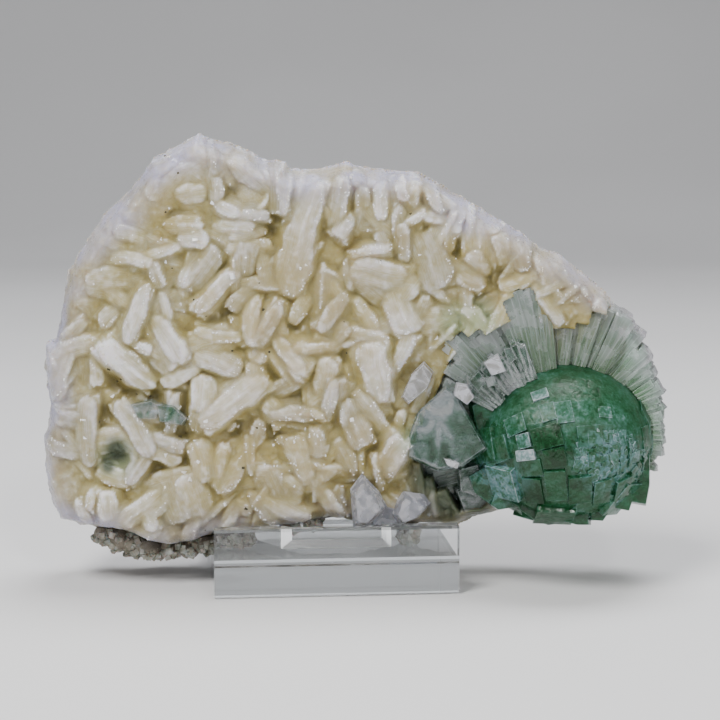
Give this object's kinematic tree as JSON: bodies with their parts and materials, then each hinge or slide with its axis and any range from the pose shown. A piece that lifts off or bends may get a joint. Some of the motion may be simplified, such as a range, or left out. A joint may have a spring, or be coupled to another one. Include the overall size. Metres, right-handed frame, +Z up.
{
  "type": "apophyllite cluster",
  "caption": "Green apophyllite ball with a fan of pale prisms on a plate of cream stilbite blades, standing in a clear acrylic display stand.",
  "frame": {"origin": "middle of the stand's underside", "axes": "+Z up; +X to the right along the specimen's length; the crystals face -Y"},
  "size_m": [0.133, 0.0538, 0.0951],
  "materials": {
    "host_rock": "matte",
    "stilbite": "satin",
    "green_apophyllite": "gloss",
    "pale_apophyllite": "gloss",
    "clear_apophyllite": "gloss",
    "white_crystal": "gloss",
    "clear_acrylic": "polished"
  },
  "bodies": {
    "root": {"matrix": "host_rock", "stilbite_bed": "stilbite", "apophyllite_ball": "green_apophyllite", "apophyllite_fan": "pale_apophyllite", "side_crystals": "clear_apophyllite", "white_crystals": "white_crystal", "glassy_crystals": "clear_apophyllite", "acrylic_stand": "clear_acrylic"}
  },
  "joints": []
}
